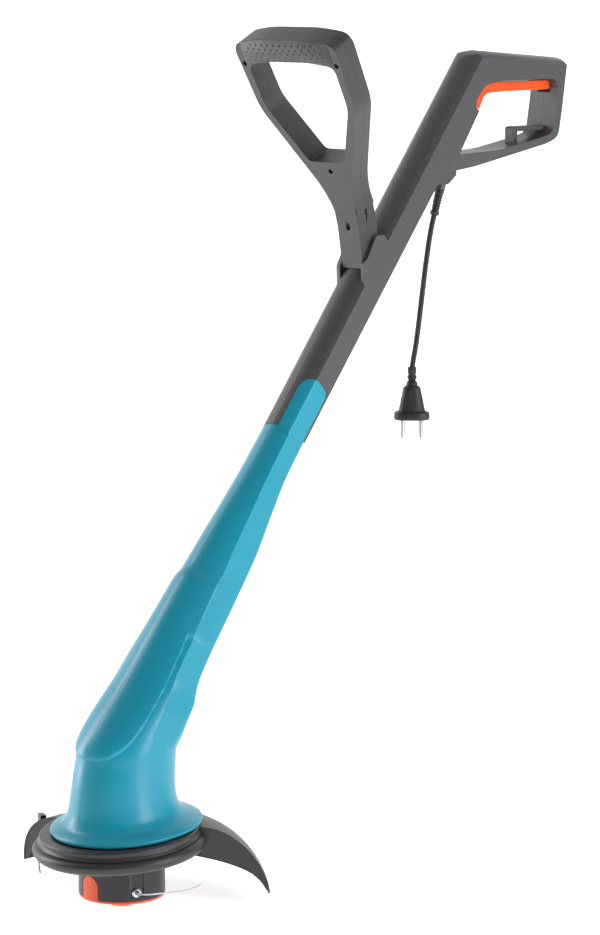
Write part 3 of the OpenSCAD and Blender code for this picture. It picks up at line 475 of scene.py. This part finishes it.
def headSurface(inside, rise):
    # each section is w cos f wide; its front reaches flat + crown sin f to a power, and its rear
    # the same with its own numbers
    c = splined(sections, shell["rows"])[:, :, None]
    n = shell["columns"]
    q = np.linspace(1, 0, n + 1)
    f = np.radians(90 * np.concatenate([q, q[::-1] ** 1.7]))[None, :]
    front = (np.arange(2 * n + 2) <= n)[None, :]
    u = np.sin(f)
    v = np.where(front, -c[:, 4] - (c[:, 5] - inside) * u ** c[:, 6], c[:, 7] + (c[:, 8] - inside) * u ** c[:, 9])
    tilt = np.radians(c[:, 2])
    x = np.maximum((c[:, 3] - inside) * np.cos(f), 0.1)
    points = np.stack([x, c[:, 0] + v * np.cos(tilt), c[:, 1] + v * np.sin(tilt)], -1)
    if rise:
        points = points + rise * panel(points)[..., None] * outward(points)
    return points


def outward(points):
    # cross product of the grid's two directions
    down, across = np.gradient(points, axis=0), np.gradient(points, axis=1)
    normal = np.cross(across, down)
    return normal / np.maximum(np.linalg.norm(normal, axis=-1, keepdims=True), 1e-9)


# [y + x, height] along the lip's foot
lipCurve = [[-75, 147], [-57.5, 143.5], [-32.6, 139.6], [-10, 140.6], [12, 149], [33, 166], [54, 190], [70, 212],
    [90, 243]]


def panel(p):
    # the raised front panel: above a curved lip and in front of a crease that runs up the shaft
    y, z = p[..., 1] + p[..., 0], p[..., 2] - 0.214 * p[..., 0]
    curve = splined(lipCurve, 12)
    lip = np.interp(y, curve[:, 0], curve[:, 1])
    s = p[..., 1] * math.sin(lean) + p[..., 2] * math.cos(lean)
    n = p[..., 2] * math.sin(lean) - p[..., 1] * math.cos(lean)
    return smooth(z - lip, -0.8, 1.6) * smooth(n, 99.4, 101.2) * smooth(-s, -304, -292)


def shellWall(outer, inside):
    # outer and inner grids of the same size joined round their four edges
    rows, columns = outer.shape[:2]
    size = rows * columns
    faces = [*gridFaces(rows, columns), *(gridFaces(rows, columns) + size)]
    index = np.arange(size).reshape(rows, columns)
    for edge in (index[0], index[-1], index[:, 0], index[:, -1]):
        faces += np.column_stack([edge[:-1], edge[1:], edge[1:] + size, edge[:-1] + size]).tolist()
    return np.concatenate([outer.reshape(-1, 3), inside.reshape(-1, 3)]), faces


def mirrored(part, s):
    points, faces = part
    return (points * np.array([s, 1, 1]), faces)


earOutline = rounded([[*sn(460, 78), 0], [*sn(532, 78), 10], [*sn(532, 99.2), 10], [*sn(460, 99.2), 0]])
outer, inside = headSurface(0, shell["lipRise"]), headSurface(shell["wall"], 0)
headPoints, headFaces = shellWall(outer, inside)
for s, name in ((1, "housing_left"), (-1, "housing_right")):
    half = [mirrored((place(headPoints), headFaces), s), mirrored(prism(earOutline, 16.9, 19.5, sideways), s)]
    newPiece("headShellLeft" if s > 0 else "headShellRight", half, "body", teal, [name], 34)
print("head shells")

# the left shell's ear reaches over the shaft's side and on to its crowned front
ear = {"proud": 0.45, "sunk": 0.8, "foot": 470, "top": 533, "front": 7.5, "round": 16, "power": 2.4}
shaft = {"half": 19.5, "rear": 78, "edge": 99.5, "crown": 8, "sideLift": 0.55}
crownRadius = (shaft["half"] ** 2 + shaft["crown"] ** 2) / (2 * shaft["crown"])


def earSurface(lift):
    # q runs up the flat side, then round the crown's arc; the top edge is a superellipse of q
    q, v = np.linspace(0, 1, 61)[None, :], np.linspace(0, 1, 49)[:, None]
    side = shaft["edge"] - shaft["rear"]
    edgeArc, frontArc = math.asin(shaft["half"] / crownRadius), math.asin(ear["front"] / crownRadius)
    d = q * (side + crownRadius * (edgeArc - frontArc))
    a = edgeArc - np.clip(d - side, 0, None) / crownRadius
    r = crownRadius + lift
    flank = shaft["half"] + lift * shaft["sideLift"]
    x = np.where(d < side, flank, np.minimum(r * np.sin(a), flank))
    crownCentre = shaft["edge"] + shaft["crown"] - crownRadius
    n = np.where(d < side, shaft["rear"] + d, crownCentre + r * np.cos(a))
    arch = (1 - np.abs(2 * q - 1) ** ear["power"]) ** (1 / ear["power"])
    top = ear["top"] - ear["round"] + ear["round"] * arch
    s = ear["foot"] + (top - ear["foot"]) * v
    y, z = sn(s, n)
    return np.stack([x + 0 * s, y, z], -1)


earPoints, earFaces = shellWall(earSurface(ear["proud"]), earSurface(-ear["sunk"]))
newPiece("earLeft", [(place(earPoints), earFaces)], "body", teal, (), 34)


# ---------- guard ----------
guard = {"inner": 76.2, "near": 146, "far": 130, "from": 44, "to": 185, "wall": 1.9, "roof": 64, "slope": 0.08,
    "rib": 2.4, "flangeTilt": 4.57}


def roofPoint(a, f, t):
    # radius grows with sin f from the ring to the rim; height falls with cos f to a power that eases round the guard
    share = (a - guard["from"]) / (guard["to"] - guard["from"])
    rim = guard["near"] + (guard["far"] - guard["near"]) * share
    foot = 2 + 11 * share
    r = guard["inner"] + (rim - t - guard["inner"]) * np.sin(f)
    y = r * np.sin(np.radians(a))
    y = y + guardCentre[1]
    z = foot + (guard["roof"] - t - foot) * np.cos(f) ** (1.24 - 0.5 * share)
    z = z + guard["slope"] * y * (1 - np.sin(f))
    return np.stack([r * np.cos(np.radians(a)), y, z], -1)


def roofGrid(t):
    a = np.linspace(guard["from"], guard["to"], 111)[:, None]
    f = np.radians(90 * np.linspace(0, 1, 41)[None, :])
    return roofPoint(a, f * (1 - 1e-6), t)


def rib(a, lowerEdge, begin):
    # a web that closes the guard's end, between the roof's curve and its own lower edge
    f = np.radians(90 * np.linspace(0, 0.999, 33))
    top = roofPoint(a, f, 0.8)
    radius = np.hypot(top[:, 0], top[:, 1] - guardCentre[1])
    outline = np.concatenate([np.column_stack([radius, top[:, 2]]), splined(lowerEdge, 6)])

    def lay(p):
        return turnedFlat(np.column_stack([p[:, 0], p[:, 2], p[:, 1]]), a) + guardCentre

    return prism(outline, begin, begin + guard["rib"], lay)


def turnedFlat(p, degrees):
    # turned about the Z axis: x c - y s, x s + y c
    c, s = math.cos(math.radians(degrees)), math.sin(math.radians(degrees))
    return np.column_stack([p[:, 0] * c - p[:, 1] * s, p[:, 0] * s + p[:, 1] * c, p[:, 2]])


ringSection = rounded([[66, 66.2, 0], [76.5, 66.2, 0.5], [77.5, 65, 0.5], [77.5, 61.3, 1], [79.6, 58.9, 0.4],
    [78.4, 57.4, 0.4], [82.6, 56.3, 1.2], [85, 53, 2],
    [84, 48, 2.2], [80.4, 44.8, 0.7], [78, 46.4, 0.7], [81, 49.5, 1.4], [82, 53, 1.4], [80, 55.6, 1.4], [75, 59.6, 1],
    [75, 63.4, 0], [66, 63.4, 0]], 4)
ringPoints, ringFaces = turned(ringSection, 192)
ringPoints = (ringPoints + np.array([0, 1.8, 0])) @ aboutX(guard["flangeTilt"]).T
plate = turned([[16, 50], [68, 50], [68, 52.4], [16, 52.4]], 128, move=guardCentre)
wallTop = turned([[66.6, 50], [69, 50], [69, 66], [66.6, 66]], 128, move=guardCentre)
wallTop[0][:, 2] = np.where(wallTop[0][:, 2] > 60, 65 + 0.08 * wallTop[0][:, 1], wallTop[0][:, 2])
roofPoints, roofFaces = shellWall(roofGrid(0), roofGrid(guard["wall"]))
nearRib = rib(guard["from"], [[141, 7.5], [136, 14.5], [126, 23], [115, 28.4], [100, 34.5], [79, 40.6]], 0.3)
farRib = rib(guard["to"], [[126, 15], [120, 24], [104, 32], [78, 42]], -2.7)


blade = {"turn": -32, "place": (117, -9, 0), "lift": 22}


def atBlade(p):
    # the blade's own frame: X along the cut, Z up, standing at the guard's far end
    q = turnedFlat(p, blade["turn"]) + np.array(blade["place"])
    return turnedFlat(q, guard["to"]) + guardCentre + np.array([0, 0, blade["lift"]])


bladeBoss = prism([[-6, -6.2], [6, -6.2], [6, -0.2], [-6, -0.2]], -2, 37, atBlade)
guardParts = [(place(ringPoints), ringFaces), (place(plate[0]), plate[1]), (place(wallTop[0]), wallTop[1]),
    (place(roofPoints), roofFaces), nearRib, farRib, bladeBoss]
newPiece("guardMoulding", guardParts, "body", guardShell, ["guard"], 34)
print("guard")

# ---------- pieces that keep their machined shape, with their edges rounded ----------
softPieces = {
    "handleLeft": ("handle_left", "body", "grey_shell", grey, 1.3),
    "handleRight": ("handle_right", "body", "grey_shell", grey, 1.3),
    "hoopFront": ("hoop_front", "body", "dark_shell", darkShell, 2.2),
    "hoopRear": ("hoop_rear", "body", "dark_shell", darkShell, 2.2),
    "triggerLever": ("trigger", "trigger_body", "orange_shell", orange, 0.8),
    "drumWall": ("line_drum", "rotor", "inner_plastic", drumShell, 0.5),
    "capDisc": ("spool_cap", "cap", "orange_shell", orange, 0.4),
    "frontLatch": ("latch_front", "front_latch", "orange_shell", orange, 0.5),
    "rearLatch": ("latch_rear", "rear_latch", "orange_shell", orange, 0.5),
    "tapButton": ("tap_knob", "reel", "orange_shell", orange, 0.5),
}
for name, (node, body, slot, material, width) in softPieces.items():
    softened(name, node, body, material, width)
print("rounded pieces")

# ---------- knurled grip of the hoop ----------
grip = {"halfLength": 61, "middle": 178, "rise": 5.5, "pitch": 8.5, "dimple": 1.7, "depth": 0.8, "lean": 118,
    "foot": (307, 650)}


def gripSurface():
    # between the bar's two edges: a crowned pillow, sin v tall, that dies away at both ends,
    # with staggered round pits
    u, v = np.linspace(-1, 1, 281)[:, None], np.linspace(0, 1, 97)[None, :]
    x = grip["halfLength"] * u + 0 * v
    lower = np.interp(np.abs(x), [0, 22, 34, 52, 61], [166.2, 166.3, 165.2, 162.6, 160.0])
    upper = np.interp(np.abs(x), [0, 25, 40, 58, 61], [191.4, 191.4, 190.2, 187.6, 186.8])
    y = lower + (upper - lower) * v
    pillow = grip["rise"] * np.sin(np.pi * v) ** 0.7 * (1 - np.abs(u) ** 3) ** 0.7
    row = grip["pitch"] * 0.5
    line = np.round((y - grip["middle"]) / row)
    stagger = 0.5 * (line % 2)
    pitAt = (np.round(x / grip["pitch"] - stagger) + stagger) * grip["pitch"]
    away = np.hypot(x - pitAt, y - grip["middle"] - line * row)
    pit = grip["depth"] * smooth(-away, -grip["dimple"], -0.2) * smooth(pillow, 1.5, 2.6)
    return np.stack([x, y, pillow - pit], -1)


def onHoop(p):
    # the hoop's frame turned about X and moved to its foot
    return p @ aboutX(grip["lean"]).T + [0, *grip["foot"]]


gripFront = gripSurface()
gripBack = gripFront * np.array([1, 1, 0]) - np.array([0, 0, 1.5])
gripPoints, gripFaces = shellWall(onHoop(gripFront), onHoop(gripBack))
newPiece("knurledGrip", [(place(gripPoints), gripFaces)], "body", darkShell, (), 50)

# ---------- carried-over nodes ----------
finishes = {
    steel: ["housing_screws", "handle_screws", "hoop_screws", "hoop_clamp_screw", "guard_screws", "blade_screw",
        "bracket_screws", "trigger_pin", "trigger_spring", "cord_clamp_screws", "motor_shaft", "drum_nut",
        "spring_seat", "spool_spring", "line_blade", "plug_pins"],
    bearingSteel: ["lower_bearing", "upper_bearing"],
    lamination: ["stator_core", "armature_core"],
    copperWire: ["field_windings", "armature_windings"],
    copperBar: ["commutator"],
    brass: ["brush_holders"],
    graphite: ["carbon_brushes"],
    capacitorCase: ["capacitor"],
    leadCover: ["inner_leads"],
    inner: ["lower_bracket", "upper_bracket", "switch_body", "cord_clamp", "spool"],
    buttonPlastic: ["switch_button"],
    fan: ["cooling_fan"],
    aluminium: ["eyelets"],
    nylon: ["line_winding"],
}
for material, members in finishes.items():
    for member in members:
        nodes[member].data.materials.clear()
        nodes[member].data.materials.append(material)

# ---------- studio ----------
studio = {"floor": -0.7942, "glow": 0.8, "keyPower": 62, "leftPower": 55, "topPower": 9, "fillPower": 0.6,
    "world": 0.14, "horizon": 0.94}
paper = Shader("paper")
paperTone = paper.mix(paper.ramp(paper.noise(2, 3), 0.3, 0.7), rgb("f4f4f3"), rgb("f1f1f0"))
paperMaterial = paper.finish(paperTone, 0.85, Emission_Color=(1, 1, 1, 1), Emission_Strength=studio["glow"])
# the sheet is seen from its front only, so that it never hides the machine from behind or below
paperOut = next(n for n in paper.tree.nodes if n.type == "OUTPUT_MATERIAL")
paperFront = paperOut.inputs[0].links[0].from_socket
fromBehind = paper.add("ShaderNodeNewGeometry", {}, output="Backfacing")
seeThrough = paper.add("ShaderNodeBsdfTransparent", {})
oneSided = paper.add("ShaderNodeMixShader", {}, fromBehind, Link(paper, paperFront), seeThrough)
paper.tree.links.new(oneSided.socket, paperOut.inputs[0])


def sweepSheet(size, depth, radius, height):
    # a floor that runs back, bends up through a quarter circle and rises as a wall, seen from the camera's side
    a = np.linspace(0, np.pi / 2, 24)
    run = np.concatenate([[-depth], radius * np.sin(a) + size, [size + radius]])
    rise = np.concatenate([[0], radius * (1 - np.cos(a)), [height]])
    across = np.linspace(-8, 8, 3)[:, None]
    c, s = math.cos(azimuth), math.sin(azimuth)
    points = np.stack([across * c - run * s, across * s + run * c, rise + 0 * across + studio["floor"]], -1)
    return points.reshape(-1, 3), gridFaces(3, len(run))


backdrop = bpy.data.objects.new("backdrop", buildMesh("backdrop", [sweepSheet(4, 6, 1.5, 9)]))
backdrop.data.flip_normals()  # its front is the machine's side
scene.collection.objects.link(backdrop)
backdrop.data.materials.append(paperMaterial)
backdrop.data.polygons.foreach_set("use_smooth", np.ones(len(backdrop.data.polygons), bool))


def softbox(name, position, target, width, height, power):
    light = bpy.data.lights.new(name, "AREA")
    light.shape, light.size, light.size_y, light.energy = "RECTANGLE", width, height, power
    lamp = bpy.data.objects.new(name, light)
    scene.collection.objects.link(lamp)
    lamp.location = position
    lamp.rotation_mode = "QUATERNION"
    lamp.rotation_quaternion = (Vector(target) - Vector(position)).to_track_quat("-Z", "Y")


right, middle = Vector((math.cos(azimuth), math.sin(azimuth), 0)), Vector((0, -0.25, -0.35))
toCamera = Vector((back.x, back.y, 0)).normalized()
up = Vector((0, 0, 1))
softbox("rightBox", middle + right * 2.2 + toCamera * 1.5 + up * 0.5, middle, 1.1, 2.6, studio["keyPower"])
softbox("leftBox", middle - right * 2.3 - toCamera * 0.7 + up * 0.4, middle, 0.8, 2.6, studio["leftPower"])
softbox("topBox", middle + up * 3.2, middle, 2.4, 2.4, studio["topPower"])
softbox("frontFill", middle + toCamera * 4 + up * 1.2, middle, 1.5, 1.5, studio["fillPower"])
world = bpy.data.worlds.new("studioAir")
world.use_nodes = True
# faint light on the machine, and near white where a view looks past the sheet
air, tree = world.node_tree.nodes["Background"], world.node_tree
air.inputs[0].default_value = (1, 1, 1, 1)
seen, brightness = tree.nodes.new("ShaderNodeLightPath"), tree.nodes.new("ShaderNodeMapRange")
brightness.inputs[3].default_value, brightness.inputs[4].default_value = studio["world"], studio["horizon"]
tree.links.new(seen.outputs["Is Camera Ray"], brightness.inputs[0])
tree.links.new(brightness.outputs[0], air.inputs[1])
scene.world = world
scene.view_settings.view_transform = "Standard"
